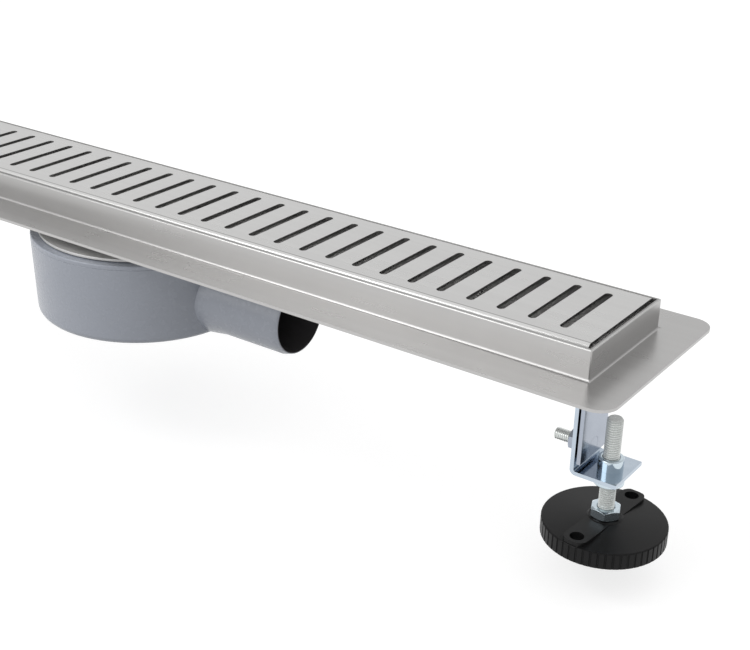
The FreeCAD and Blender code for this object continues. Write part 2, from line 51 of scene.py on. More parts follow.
floor_paint = bpy.data.materials.new("pale_floor")
floor_paint.use_nodes = True
floor_nodes = floor_paint.node_tree.nodes
floor_links = floor_paint.node_tree.links
floor_shader = floor_nodes["Principled BSDF"]
floor_shader.inputs["Base Color"].default_value = (0.45, 0.45, 0.45, 1)
floor_shader.inputs["Roughness"].default_value = 0.9
floor_shader.inputs["Specular IOR Level"].default_value = 0.0
floor_shader.inputs["Emission Color"].default_value = (1, 1, 1, 1)
seen = floor_nodes.new("ShaderNodeLightPath")
seen_or_mirrored = floor_nodes.new("ShaderNodeMath")
seen_or_mirrored.operation = "MAXIMUM"
seen_glow = floor_nodes.new("ShaderNodeMath")
seen_glow.operation = "MULTIPLY"
seen_glow.inputs[1].default_value = 0.70
floor_links.new(seen.outputs["Is Camera Ray"], seen_or_mirrored.inputs[0])
floor_links.new(seen.outputs["Is Glossy Ray"], seen_or_mirrored.inputs[1])
floor_links.new(seen_or_mirrored.outputs[0], seen_glow.inputs[0])
floor_links.new(seen_glow.outputs[0], floor_shader.inputs["Emission Strength"])
floor.data.materials.append(floor_paint)

# The studio is a white tent, brighter behind, above and on the left than on the right.
studio = bpy.data.worlds.new("studio")
bpy.context.scene.world = studio
studio.use_nodes = True
sky = studio.node_tree.nodes
sky_links = studio.node_tree.links
tent = sky["Background"]
tent.inputs["Color"].default_value = (1, 1, 1, 1)
sky_place = sky.new("ShaderNodeTexCoord")
tent_side = sky.new("ShaderNodeVectorMath")
tent_side.operation = "DOT_PRODUCT"
tent_side.inputs[1].default_value = Vector((-0.50, 0.35, 0.80)).normalized()
tent_level = sky.new("ShaderNodeMapRange")
tent_level.inputs["From Min"].default_value = -1.0
tent_level.inputs["From Max"].default_value = 1.0
tent_level.inputs["To Min"].default_value = 0.34
tent_level.inputs["To Max"].default_value = 0.96
sky_links.new(sky_place.outputs["Generated"], tent_side.inputs[0])
sky_links.new(tent_side.outputs["Value"], tent_level.inputs["Value"])
sky_links.new(tent_level.outputs["Result"], tent.inputs["Strength"])

# Two large soft lamps: the main one low on the front left, where the steel walls and the
# flange reflect it, and a weak one higher up that lights every bend and eased edge.
lamps = {
    "main_softbox": ((-0.60, -1.72, 0.90), 1.5, 9.0),
    "high_softbox": ((-0.60, -0.65, 1.10), 0.5, 2.4),
}
lamp_target = Vector((0.1, 0, 0.06))
for lamp_name, (lamp_place, lamp_size, lamp_power) in lamps.items():
    bpy.ops.object.light_add(type="AREA", location=lamp_place)
    lamp = bpy.context.object
    lamp.name = lamp_name
    lamp.data.shape = "DISK"
    lamp.data.size = lamp_size
    lamp.data.energy = lamp_power
    aim = lamp_target - Vector(lamp_place)
    lamp.rotation_euler = aim.to_track_quat("-Z", "Y").to_euler()

# The camera stands in front on the right and looks down on the drain's right half,
# with the slight roll that the photograph has.
camera_place = (0.52425, -0.52511, 0.3660)
camera_azimuth = math.radians(34.60)
camera_drop = math.radians(24.75)
camera_roll = math.radians(1.53)
bpy.ops.object.camera_add(location=camera_place)
camera = bpy.context.object
camera.data.sensor_fit = "HORIZONTAL"
camera.data.sensor_width = 36.0
camera.data.lens = 65.76
camera.data.clip_start = 0.01
camera.rotation_mode = "QUATERNION"
camera.rotation_quaternion = (
    Quaternion((0, 0, 1), camera_azimuth)
    @ Quaternion((1, 0, 0), math.pi / 2 - camera_drop)
    @ Quaternion((0, 0, 1), camera_roll))
bpy.context.scene.camera = camera
bpy.context.scene.view_settings.view_transform = "Standard"


# The channel is made of 1.5 mm stainless sheet: a shallow trough whose walls stand 15 mm above a
# flange that runs all round. The long sides are folded, the flat ends are welded in, the rim's
# outside is rounded, and the whole is brushed along its length. The rim's top carries painted
# shade and its rounded outside a painted highlight.
sheet = 0.0015
rim_z = 0.112
flange_z = 0.097
channel_low, channel_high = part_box("channel")
trough_under = channel_low.z
trough_length = 0.600
trough_width = 0.071
flange_length = channel_high.x - channel_low.x
flange_width = channel_high.y - channel_low.y
trough_bend = 0.002
weld_r = 0.001
flange_corner = 0.010
wall_fold = 0.0015
rim_round = 0.0006
rim_ease = 0.0004
outlet_r = 0.026


def deselect():
    """Leave edit mode and select nothing."""
    if bpy.context.object and bpy.context.object.mode != "OBJECT":
        bpy.ops.object.mode_set(mode="OBJECT")
    bpy.ops.object.select_all(action="DESELECT")


def named(name):
    """Name the new object and its mesh."""
    made = bpy.context.object
    made.name = name
    made.data.name = name
    return made


def fix_place(made):
    """Put an object's place, turn and size into its mesh."""
    deselect()
    made.select_set(True)
    bpy.context.view_layer.objects.active = made
    bpy.ops.object.transform_apply(location=True, rotation=True, scale=True)
    return made


def add_box(name, low, high):
    """Add a box between two corners."""
    deselect()
    low = Vector(low)
    high = Vector(high)
    bpy.ops.mesh.primitive_cube_add(size=1, location=(low + high) / 2)
    made = named(name)
    made.scale = high - low
    return fix_place(made)


def pick(made, kind, wanted):
    """Select the faces, edges or points whose place passes a test, in edit mode."""
    deselect()
    made.select_set(True)
    bpy.context.view_layer.objects.active = made
    bpy.ops.object.mode_set(mode="EDIT")
    bpy.ops.mesh.select_mode(type=kind)
    bpy.ops.mesh.select_all(action="DESELECT")
    bpy.ops.object.mode_set(mode="OBJECT")
    mesh = made.data
    if kind == "FACE":
        for face in mesh.polygons:
            face.select = wanted(face.center, face.normal)
    elif kind == "EDGE":
        for edge in mesh.edges:
            ends = [mesh.vertices[i].co for i in edge.vertices]
            edge.select = wanted(ends[0], ends[1])
    else:
        for point in mesh.vertices:
            point.select = wanted(point.co)
    bpy.ops.object.mode_set(mode="EDIT")


def close(value, goal):
    """Two lengths are the same to a hundredth of a millimetre."""
    return abs(value - goal) < 1e-5


def use_modifier(made, kind, **settings):
    """Add a modifier with these settings and apply it."""
    deselect()
    made.select_set(True)
    bpy.context.view_layer.objects.active = made
    modifier = made.modifiers.new(kind.lower(), kind)
    for key, value in settings.items():
        setattr(modifier, key, value)
    bpy.ops.object.modifier_apply(modifier=modifier.name)
    return made


def merge_doubles(made):
    """Join points that lie within a thousandth of a millimetre."""
    pick(made, "VERT", lambda c: True)
    bpy.ops.mesh.remove_doubles(threshold=1e-6)
    bpy.ops.object.mode_set(mode="OBJECT")
    return made


def cut(made, tool, way="DIFFERENCE"):
    """Cut, join or meet a piece with a tool shape."""
    use_modifier(made, "BOOLEAN", object=tool, operation=way, solver="MANIFOLD")
    bpy.data.objects.remove(tool)
    return merge_doubles(made)


def ease_edges(made, width, segments=2):
    """Break the sharp edges of a piece by a small radius."""
    return use_modifier(
        made, "BEVEL", width=width, segments=segments, limit_method="ANGLE",
        angle_limit=math.radians(40), miter_outer="MITER_SHARP")


def smooth(made, angle=35):
    """Shade smooth, apart from edges sharper than an angle, and keep large faces flat."""
    deselect()
    made.select_set(True)
    bpy.context.view_layer.objects.active = made
    bpy.ops.object.shade_smooth_by_angle(angle=math.radians(angle))
    return use_modifier(made, "WEIGHTED_NORMAL", weight=100, keep_sharp=True)


def add_bar(name, radius, low, high, sides=64, turn=0.0):
    """Add an upright round bar between two heights at a place."""
    deselect()
    middle = (Vector(low) + Vector(high)) / 2
    bpy.ops.mesh.primitive_cylinder_add(
        vertices=sides, radius=radius, depth=high[2] - low[2], location=middle,
        rotation=(0, 0, turn))
    return fix_place(named(name))


channel = add_box(
    "channel_sheet",
    (-flange_length / 2, -flange_width / 2, flange_z - sheet),
    (flange_length / 2, flange_width / 2, flange_z))
flange_end = (flange_length - trough_length) / 2
inner_width = flange_width - 2 * flange_end


def raise_trough(start_z, travel):
    """Inset the flange to the trough's outline and pull it up or down."""
    pick(channel, "FACE", lambda c, n: close(c.z, start_z) and abs(n.z) > 0.9)
    bpy.ops.mesh.inset(thickness=flange_end)
    bpy.ops.transform.resize(value=(1, trough_width / inner_width, 1))
    bpy.ops.mesh.extrude_region_move(TRANSFORM_OT_translate={"value": (0, 0, travel)})


raise_trough(flange_z, rim_z - flange_z)
bpy.ops.mesh.inset(thickness=sheet)
bpy.ops.mesh.extrude_region_move(
    TRANSFORM_OT_translate={"value": (0, 0, trough_under + sheet - rim_z)})
raise_trough(flange_z - sheet, trough_under + sheet - flange_z)


def upright(a, b, x, y):
    """An edge stands upright over one corner."""
    over = close(abs(a.x), x) and close(abs(a.y), y)
    return over and close(a.x, b.x) and close(a.y, b.y)


def lengthwise(a, b, y, z):
    """An edge runs along the channel at one distance from its middle and one height."""
    along = close(abs(a.y), y) and close(a.y, b.y) and close(a.z, z) and close(b.z, z)
    return along and abs(a.x - b.x) > trough_length / 2


def outer_rim(a, b):
    """An edge runs round the rim's outside, or stands at a corner over the flange."""
    on_rim = all(
        close(point.z, rim_z) and close(abs(point.x), half_x) and close(abs(point.y), half_y)
        for point in (a, b))
    return on_rim or (upright(a, b, half_x, half_y) and min(a.z, b.z) > flange_z - 1e-5)


def end_outline(a, b):
    """An edge lies on the outline of one of the end walls, below the flange."""
    on_end = close(abs(a.x), half_x) and close(a.x, b.x) and max(a.z, b.z) < flange_z - 1e-5
    return on_end and not (close(a.z, flange_z - sheet) and close(b.z, flange_z - sheet))


def wall_foot(a, b):
    """An edge lies where the trough's wall meets the flange's top."""
    for point in (a, b):
        inside = abs(point.x) < half_x + 1e-5 and abs(point.y) < half_y + 1e-5
        near = abs(point.x) > half_x - weld_r - 1e-5 or abs(point.y) > half_y - weld_r - 1e-5
        if not (close(point.z, flange_z) and inside and near):
            return False
    return True


half_x = trough_length / 2
half_y = trough_width / 2
pick(channel, "EDGE", outer_rim)
bpy.ops.mesh.bevel(offset=rim_round, segments=3, affect="EDGES")
pick(channel, "EDGE", lambda a, b: lengthwise(a, b, half_y, trough_under))
bpy.ops.mesh.bevel(offset=trough_bend, segments=6, affect="EDGES")
pick(channel, "EDGE", lambda a, b: lengthwise(a, b, half_y - sheet, trough_under + sheet))
bpy.ops.mesh.bevel(offset=trough_bend - sheet, segments=3, affect="EDGES")
pick(channel, "EDGE", end_outline)
bpy.ops.mesh.bevel(offset=weld_r, segments=4, affect="EDGES")
pick(channel, "EDGE", lambda a, b: upright(a, b, flange_length / 2, flange_width / 2))
bpy.ops.mesh.bevel(offset=flange_corner, segments=12, affect="EDGES")
pick(channel, "EDGE", wall_foot)
bpy.ops.mesh.bevel(offset=wall_fold, segments=6, affect="EDGES")
cut(channel, add_bar(
    "outlet_cut", outlet_r, (0, 0, trough_under - sheet), (0, 0, trough_under + 2 * sheet),
    sides=96))
ease_edges(channel, rim_ease, 3)
smooth(channel)


def new_finish(name, colour, metal, rough):
    """Start a material and return it with its nodes, its links and its shader."""
    finish = bpy.data.materials.new(name)
    finish.use_nodes = True
    nodes = finish.node_tree.nodes
    shader = nodes["Principled BSDF"]
    shader.inputs["Base Color"].default_value = (*colour, 1)
    shader.inputs["Metallic"].default_value = metal
    shader.inputs["Roughness"].default_value = rough
    return finish, nodes, finish.node_tree.links, shader


def put_on(made, finish):
    """Give a piece this one material all over."""
    made.data.materials.clear()
    made.data.materials.append(finish)


def add_noise(nodes, links, place, stretch, scale, detail):
    """Add a noise pattern, stretched on the piece's own axes."""
    mapping = nodes.new("ShaderNodeMapping")
    mapping.inputs["Scale"].default_value = stretch
    noise = nodes.new("ShaderNodeTexNoise")
    noise.inputs["Scale"].default_value = scale
    noise.inputs["Detail"].default_value = detail
    links.new(place.outputs["Object"], mapping.inputs["Vector"])
    links.new(mapping.outputs["Vector"], noise.inputs["Vector"])
    return noise.outputs["Fac"]


def spread(nodes, links, value, low, high, start=0.3, end=0.7):
    """Map a pattern's middle range onto two levels."""
    level = nodes.new("ShaderNodeMapRange")
    level.inputs["From Min"].default_value = start
    level.inputs["From Max"].default_value = end
    level.inputs["To Min"].default_value = low
    level.inputs["To Max"].default_value = high
    links.new(value, level.inputs["Value"])
    return level.outputs["Result"]


def blend_values(nodes, links, share, first, second):
    """Mix two patterns by a share."""
    mix = nodes.new("ShaderNodeMix")
    mix.data_type = "FLOAT"
    links.new(share, mix.inputs["Factor"])
    links.new(first, mix.inputs["A"])
    links.new(second, mix.inputs["B"])
    return mix.outputs["Result"]


def tint(nodes, links, share, dark, light):
    """Mix two colours by a pattern."""
    mix = nodes.new("ShaderNodeMix")
    mix.data_type = "RGBA"
    mix.inputs["A"].default_value = (*dark, 1)
    mix.inputs["B"].default_value = (*light, 1)
    links.new(share, mix.inputs["Factor"])
    return mix.outputs["Result"]


def emboss(nodes, links, shader, height, distance, strength):
    """Raise a surface by a pattern."""
    bump = nodes.new("ShaderNodeBump")
    bump.inputs["Distance"].default_value = distance
    bump.inputs["Strength"].default_value = strength
    links.new(height, bump.inputs["Height"])
    links.new(bump.outputs["Normal"], shader.inputs["Normal"])


def brushed_steel(name, dark, light, rough, along=(9, 650, 650), ends=None):
    """Make brushed stainless: fine long grain, across on end walls, and cloudy patches."""
    finish, nodes, links, shader = new_finish(name, light, 1.0, rough)
    place = nodes.new("ShaderNodeTexCoord")
    grain = add_noise(nodes, links, place, along, 1.0, 0.5)
    if ends is not None:
        end_grain = add_noise(nodes, links, place, ends, 1.0, 0.5)
        facing = nodes.new("ShaderNodeNewGeometry")
        parts = nodes.new("ShaderNodeSeparateXYZ")
        links.new(facing.outputs["Normal"], parts.inputs["Vector"])
        flat = nodes.new("ShaderNodeMath")
        flat.operation = "ABSOLUTE"
        links.new(parts.outputs["X"], flat.inputs[0])
        is_end = spread(nodes, links, flat.outputs[0], 0.0, 1.0, 0.6, 0.8)
        grain = blend_values(nodes, links, is_end, grain, end_grain)
    clouds = add_noise(nodes, links, place, (1, 1, 1), 26.0, 2.0)
    grain_share = spread(nodes, links, grain, 0.0, 1.0)
    colour = tint(nodes, links, grain_share, dark, light)
    links.new(colour, shader.inputs["Base Color"])
    fine = spread(nodes, links, grain, rough - 0.012, rough + 0.016)
    patch = spread(nodes, links, clouds, -0.03, 0.03)
    total = nodes.new("ShaderNodeMath")
    total.operation = "ADD"
    links.new(fine, total.inputs[0])
    links.new(patch, total.inputs[1])
    links.new(total.outputs[0], shader.inputs["Roughness"])
    emboss(nodes, links, shader, grain, 0.000002, 0.05)
    return finish


channel_steel = brushed_steel(
    "channel_brushed_steel", (0.468, 0.463, 0.458), (0.486, 0.481, 0.476), 0.30,
    along=(6, 260, 260), ends=(260, 6, 260))
put_on(channel, channel_steel)
# The rim's flat top is rougher, and its colour is painted darker: painted shade for the dark line
# at the gap beside the cover.
rim_top_painted_shade = brushed_steel(
    "channel_rim_top_painted_shade", (0.33, 0.328, 0.325), (0.37, 0.368, 0.365), 0.40)
# The rim's rounded outside is painted brighter: a painted highlight along the rim's outer edge.
rim_painted_highlight = brushed_steel(
    "channel_rim_painted_highlight", (0.55, 0.547, 0.54), (0.59, 0.587, 0.58), 0.28)
channel.data.materials.append(rim_top_painted_shade)
channel.data.materials.append(rim_painted_highlight)
# The rim's flat top takes the painted shade.
pick(channel, "FACE", lambda c, n: close(c.z, rim_z) and n.z > 0.99)
channel.active_material_index = 1
bpy.ops.object.material_slot_assign()
# The rim's rounded outside takes the painted highlight.
pick(channel, "FACE", lambda c, n: c.z > rim_z - rim_round and 0.05 < n.z < 0.99 and (
    abs(c.x) > half_x - rim_round or abs(c.y) > half_y - rim_round))
channel.active_material_index = 2
bpy.ops.object.material_slot_assign()
deselect()
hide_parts("channel")
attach(channel, "drain")


# The slotted cover is one 1.5 mm stainless sheet whose long sides are folded down as
# skirts that stand on the channel's floor. Its crosswise slots are punched with round
# ends, and it lies loose in the channel, so it lifts out for cleaning.
cover_low, cover_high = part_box("slotted_cover")
cover_bend = 0.003
slot_count = 35
slot_pitch = 0.01635
slot_shift = 0.0013
slot_width = 0.0042
slot_length = 0.0475

cover = add_box("cover_sheet", cover_low, cover_high)
pick(cover, "FACE", lambda c, n: abs(n.x) > 0.9 or n.z < -0.9)
bpy.ops.mesh.delete(type="FACE")
pick(cover, "EDGE", lambda a, b: close(a.z, cover_high.z) and close(a.y, b.y))
bpy.ops.mesh.bevel(offset=cover_bend, segments=8, affect="EDGES")
use_modifier(cover, "SOLIDIFY", thickness=sheet, offset=-1, use_even_offset=True)
slot_cutter = add_bar(
    "slot_cutter", slot_width / 2, (0, 0, cover_high.z - 2 * sheet),
    (0, 0, cover_high.z + sheet), sides=24, turn=math.pi / 24)
for side in (-1, 1):
    pick(slot_cutter, "VERT", lambda c: c.y * side > 0)
    bpy.ops.transform.translate(value=(0, side * (slot_length - slot_width) / 2, 0))
    bpy.ops.object.mode_set(mode="OBJECT")
use_modifier(
    slot_cutter, "ARRAY", count=slot_count, use_relative_offset=False,
    use_constant_offset=True, constant_offset_displace=(slot_pitch, 0, 0))
pick(slot_cutter, "VERT", lambda c: True)
bpy.ops.transform.translate(value=(slot_shift - (slot_count - 1) / 2 * slot_pitch, 0, 0))
cut(cover, slot_cutter)
ease_edges(cover, 0.00018)
smooth(cover)
cover_steel = brushed_steel(
    "cover_brushed_steel", (0.655, 0.652, 0.645), (0.685, 0.682, 0.675), 0.29,
    along=(6, 420, 420))
cover_nodes = cover_steel.node_tree.nodes
cover_links = cover_steel.node_tree.links
cover_shader = cover_nodes["Principled BSDF"]
cover_grain = cover_shader.inputs["Base Color"].links[0].from_socket
cover_place = cover_nodes.new("ShaderNodeTexCoord")
cover_parts = cover_nodes.new("ShaderNodeSeparateXYZ")
cover_links.new(cover_place.outputs["Object"], cover_parts.inputs["Vector"])

# Painted shade on the front bend: its colour is darkened beside the gap and in a line where the
# bend starts, and the rest of the sheet slightly, standing in for dark reflections.
gap_side = -cover_high.y
bend_start = cover_bend - cover_high.y
tone_run = 0.001
near_bend = spread(
    cover_nodes, cover_links, cover_parts.outputs["Y"], 0.0, 1.0, gap_side,
    bend_start + tone_run)
bend_painted_shade = cover_nodes.new("ShaderNodeValToRGB")
shade_stops = ((0.0, 0.25), (0.13, 0.30), (0.24, 1.0), (0.58, 1.0), (0.70, 0.38), (0.86, 0.90))
while len(bend_painted_shade.color_ramp.elements) < len(shade_stops):
    bend_painted_shade.color_ramp.elements.new(0.5)
for stop, (place_on_bend, tone) in zip(bend_painted_shade.color_ramp.elements, shade_stops):
    stop.position = place_on_bend
    stop.color = (tone, tone, tone, 1)
cover_links.new(near_bend, bend_painted_shade.inputs["Fac"])
bend_shade_multiply = cover_nodes.new("ShaderNodeMix")
bend_shade_multiply.data_type = "RGBA"
bend_shade_multiply.blend_type = "MULTIPLY"
bend_shade_multiply.inputs["Factor"].default_value = 1.0
cover_links.new(cover_grain, bend_shade_multiply.inputs["A"])
cover_links.new(bend_painted_shade.outputs["Color"], bend_shade_multiply.inputs["B"])
cover_links.new(bend_shade_multiply.outputs["Result"], cover_shader.inputs["Base Color"])
put_on(cover, cover_steel)
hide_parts("slotted_cover")
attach(cover, "drain")


# The outlet disc is a round stainless plate welded under the channel round the outlet.
# It was faced on a lathe, so its brushing runs in rings. The trap is pulled up to it.
disc_low, disc_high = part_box("outlet_disc")


def turned(name, outline, centre=(0, 0), steps=96):
    """Turn a closed outline of (radius, height, corner rounding) about an upright axis."""
    deselect()
    bpy.ops.mesh.primitive_plane_add(size=0.001, location=(0, 0, 0))
    made = named(name)
    bpy.ops.object.mode_set(mode="EDIT")
    bpy.ops.mesh.select_mode(type="VERT")
    bpy.ops.mesh.select_all(action="SELECT")
    bpy.ops.mesh.merge(type="CENTER")
    at = Vector((0, 0, 0))
    first = Vector((centre[0] + outline[0][0], centre[1], outline[0][1]))
    bpy.ops.transform.translate(value=first - at)
    at = first
    for radius, height, _ in outline[1:]:
        point = Vector((centre[0] + radius, centre[1], height))
        bpy.ops.mesh.extrude_vertices_move(TRANSFORM_OT_translate={"value": point - at})
        at = point
    pick(made, "VERT", lambda c: (c - first).length < 1e-7 or (c - at).length < 1e-7)
    bpy.ops.mesh.edge_face_add()
    for radius, height, rounding in outline:
        if rounding > 0:
            corner = Vector((centre[0] + radius, centre[1], height))
            pick(made, "VERT", lambda c: (c - corner).length < 1e-6)
            bpy.ops.mesh.bevel(offset=rounding, segments=5, affect="VERTICES")
    bpy.ops.mesh.select_all(action="SELECT")
    bpy.ops.mesh.spin(
        steps=steps, angle=2 * math.pi, center=(centre[0], centre[1], 0), axis=(0, 0, 1))
    bpy.ops.mesh.select_all(action="SELECT")
    bpy.ops.mesh.remove_doubles(threshold=1e-6)
    bpy.ops.mesh.delete_loose()
    bpy.ops.mesh.select_all(action="SELECT")
    bpy.ops.mesh.normals_make_consistent(inside=False)
    bpy.ops.object.mode_set(mode="OBJECT")
    return made


disc_r = disc_high.x
disc_ease = 0.0003
disc = turned("outlet_disc_plate", [
    (outlet_r, disc_low.z, 0), (disc_r, disc_low.z, disc_ease),
    (disc_r, disc_high.z, disc_ease), (outlet_r, disc_high.z, 0)], steps=144)
smooth(disc)
disc_steel, disc_nodes, disc_links, disc_shader = new_finish(
    "turned_steel", (0.70, 0.695, 0.685), 0.35, 0.40)
disc_place = disc_nodes.new("ShaderNodeTexCoord")
rings = disc_nodes.new("ShaderNodeTexWave")
rings.wave_type = "RINGS"
rings.rings_direction = "Z"
rings.inputs["Scale"].default_value = 420.0
rings.inputs["Distortion"].default_value = 1.5
disc_links.new(disc_place.outputs["Object"], rings.inputs["Vector"])
disc_links.new(
    spread(disc_nodes, disc_links, rings.outputs["Fac"], 0.36, 0.46, 0.0, 1.0),
    disc_shader.inputs["Roughness"])
emboss(disc_nodes, disc_links, disc_shader, rings.outputs["Fac"], 0.000015, 0.5)
put_on(disc, disc_steel)
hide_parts("outlet_disc")
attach(disc, "drain")


# The trap's pot is moulded in grey polypropylene with its horizontal waste pipe, and
# a soft saddle joins the two. The walls draw in slightly towards the floor, whose edge
# is well rounded, and the pipe's mouth is chamfered for a push-fit socket.
pot_low, pot_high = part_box("trap_pot")
pot_top_r = 0.0628
pot_base_r = 0.0612
pot_wall = 0.0022
pot_floor = 0.0025
pot_edge = 0.004
pipe_r = 0.0205
pipe_wall = 0.0019
pipe_axis_z = pot_low.z + pipe_r
pipe_mouth = pot_high.x
pot_under = 0.0415
mouth_chamfer = 0.0012
mouth_run = 0.004
pipe_start = 0.030
bore_start = 0.040
fine_round = 0.0003
cut_past = 0.001


def lie_along_x(made, height):
    """Turn a piece that stands on the origin so that its axis runs along X."""
    deselect()
    made.select_set(True)
    bpy.context.view_layer.objects.active = made
    made.rotation_euler = (0, math.pi / 2, 0)
    made.location = (0, 0, height)
    return fix_place(made)


pot = turned("pot_moulding", [
    (0, pot_under, 0), (pot_base_r, pot_under, pot_edge),
    (pot_top_r, pot_high.z, fine_round), (0, pot_high.z, 0)], steps=144)
pipe = lie_along_x(turned("pipe_moulding", [
    (0, pipe_start, 0), (pipe_r, pipe_start, 0), (pipe_r, pipe_mouth - mouth_run, 0),
    (pipe_r - mouth_chamfer, pipe_mouth, fine_round), (0, pipe_mouth, 0)]), pipe_axis_z)
saddle_flare = 0.0016
saddle_root = math.sqrt(pot_base_r ** 2 - pipe_r ** 2)
saddle_end = 0.0718
saddle = lie_along_x(turned("saddle_moulding", [
    (0, saddle_root, 0), (pipe_r + saddle_flare, saddle_root, 0),
    (pipe_r - 0.0001, saddle_end, 0), (0, saddle_end, 0)]), pipe_axis_z)
below_pipe = add_box(
    "below_pipe", (saddle_root - cut_past, -pot_top_r, 0),
    (pipe_mouth, pot_top_r, pot_low.z))
saddle_drop = 0.0004
above_pot = add_box(
    "above_pot", (saddle_root - cut_past, -pot_top_r, pot_high.z - saddle_drop),
    (pipe_mouth, pot_top_r, rim_z))
cut(saddle, below_pipe)
cut(saddle, above_pot)
cut(pot, pipe, "UNION")
cut(pot, saddle, "UNION")
cavity = turned("pot_cavity", [
    (0, pot_under + pot_floor, 0),
    (pot_base_r - pot_wall, pot_under + pot_floor, pot_edge - pot_wall),
    (pot_top_r - pot_wall, pot_high.z, 0),
    (pot_top_r - pot_wall, pot_high.z + cut_past, 0), (0, pot_high.z + cut_past, 0)],
    steps=144)
cut(pot, cavity)
bore = lie_along_x(turned("pipe_bore", [
    (0, bore_start, 0), (pipe_r - pipe_wall, bore_start, 0),
    (pipe_r - pipe_wall, pipe_mouth + cut_past, 0), (0, pipe_mouth + cut_past, 0)]),
    pipe_axis_z)
cut(pot, bore)
smooth(pot, 30)


def moulded_plastic(name, dark, light, rough, cell, relief, gloss=0.5):
    """Make a moulded plastic: faint clouding, a fine skin and small gloss changes."""
    finish, nodes, links, shader = new_finish(name, light, 0.0, rough)
    shader.inputs["Specular IOR Level"].default_value = gloss
    place = nodes.new("ShaderNodeTexCoord")
    clouds = add_noise(nodes, links, place, (1, 1, 1), 32.0, 3.0)
    colour = tint(nodes, links, spread(nodes, links, clouds, 0.0, 1.0), dark, light)
    links.new(colour, shader.inputs["Base Color"])
    skin = add_noise(nodes, links, place, (1, 1, 1), cell, 1.0)
    links.new(spread(nodes, links, skin, rough - 0.01, rough + 0.01), shader.inputs["Roughness"])
    emboss(nodes, links, shader, skin, relief, 0.03)
    return finish


grey_plastic = moulded_plastic(
    "grey_polypropylene", (0.350, 0.374, 0.426), (0.362, 0.386, 0.438), 0.27, 260.0, 0.000004)
# The pipe's bore is painted near black: painted shade for the dark inside of the pipe.
bore_painted_shade = moulded_plastic(
    "grey_polypropylene_bore_painted_shade", (0.050, 0.048, 0.050), (0.065, 0.062, 0.065), 0.5, 900.0,
    0.00003, 0.2)
put_on(pot, grey_plastic)
pot.data.materials.append(bore_painted_shade)
# The faces inside the bore, past the pot's wall, take the painted shade.
shade_from_x = pot_top_r - 0.010
shade_within = pipe_r - pipe_wall + fine_round
pick(pot, "FACE", lambda c, n: c.x > shade_from_x and math.hypot(
    c.y, c.z - pipe_axis_z) < shade_within)
pot.active_material_index = 1
bpy.ops.object.material_slot_assign()
deselect()
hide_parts("trap_pot")
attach(pot, "drain")


# The trap's lid is a second grey moulding, pressed and welded into the pot's mouth. Its
# flat deck carries a rubber ring that seals against the outlet disc, and its threaded
# neck takes the clamp ring that comes down through the channel.
lid_low, lid_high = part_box("trap_lid")
neck_bore = 0.0256
neck_r = 0.0286
seal_bed = 0.0016
seal_width = 0.006
seal_depth = 0.0024
seal_inner = neck_r + seal_bed
seal_outer = seal_inner + seal_width
boss_r = seal_outer + seal_bed
boss_under = 0.0844
lid_under = 0.0859
lid_round = 0.0007
boss_round = 0.0005
neck_round = 0.0004
groove_round = 0.0002
spigot_fit = 0.0001
spigot_r = pot_top_r - pot_wall - spigot_fit
spigot_taper = 0.00015
spigot_end = lid_under - 0.004
lid = turned("lid_moulding", [
    (neck_bore, lid_high.z, 0), (seal_inner, lid_high.z, groove_round),
    (seal_inner, lid_high.z - seal_depth, 0), (seal_outer, lid_high.z - seal_depth, 0),
    (seal_outer, lid_high.z, groove_round), (pot_top_r, lid_high.z, lid_round),
    (pot_top_r, lid_under, fine_round), (spigot_r, lid_under, 0),
    (spigot_r - spigot_taper, spigot_end, fine_round),
    (spigot_r - pot_wall, spigot_end, fine_round), (spigot_r - pot_wall, lid_under, 0),
    (boss_r, lid_under, boss_round), (boss_r, boss_under, fine_round),
    (neck_r, boss_under, 0), (neck_r, lid_low.z, neck_round),
    (neck_bore, lid_low.z, neck_round)], steps=144)
smooth(lid, 30)
put_on(lid, grey_plastic)
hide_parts("trap_lid")
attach(lid, "drain")

# Inside the trap are the clamp ring, the dip tube and the cup that holds the water seal,
# all plain white mouldings, a pressed hair strainer that lifts out, and three black
# rubber rings. Each keeps its built shape and gets its own finish.
white_plastic = moulded_plastic(
    "white_polypropylene", (0.62, 0.62, 0.60), (0.70, 0.70, 0.68), 0.42, 700.0, 0.00002)
black_rubber = moulded_plastic(
    "seal_rubber", (0.018, 0.018, 0.018), (0.028, 0.028, 0.028), 0.62, 1500.0, 0.00003, 0.35)
strainer_steel = brushed_steel(
    "strainer_steel", (0.62, 0.62, 0.61), (0.72, 0.72, 0.71), 0.30, along=(900, 60, 900))
inner_finishes = {
    "clamp_ring": white_plastic, "dip_tube": white_plastic, "trap_cup": white_plastic,
    "trap_ring_seal": black_rubber, "clamp_seal": black_rubber,
    "dip_tube_seal": black_rubber, "hair_strainer": strainer_steel}
for node, finish in inner_finishes.items():
    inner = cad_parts[node]
    put_on(inner, finish)


# Each foot hangs from a 2 mm zinc-plated strip. Its top leg is welded under the channel,
# a step half way down brings its lower tab forward, and a bolt's flush head is pressed
# into that tab. The same strip, turned round, serves the other end.
foot_x = 0.299
hanger_low, hanger_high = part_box("hanger_right")
stud_low, stud_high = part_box("stud_right")
plate_sheet = 0.002
step_top = 0.073
tab_front = stud_high.x
tab_gap = 0.0007
web_front = tab_front - plate_sheet - tab_gap
leg_bend = 0.003
step_bend = 0.0004
tab_bend = 0.0018
plate_ease = 0.0002
stud_z = (stud_low.z + stud_high.z) / 2
stud_head_r = (stud_high.z - stud_low.z) / 2


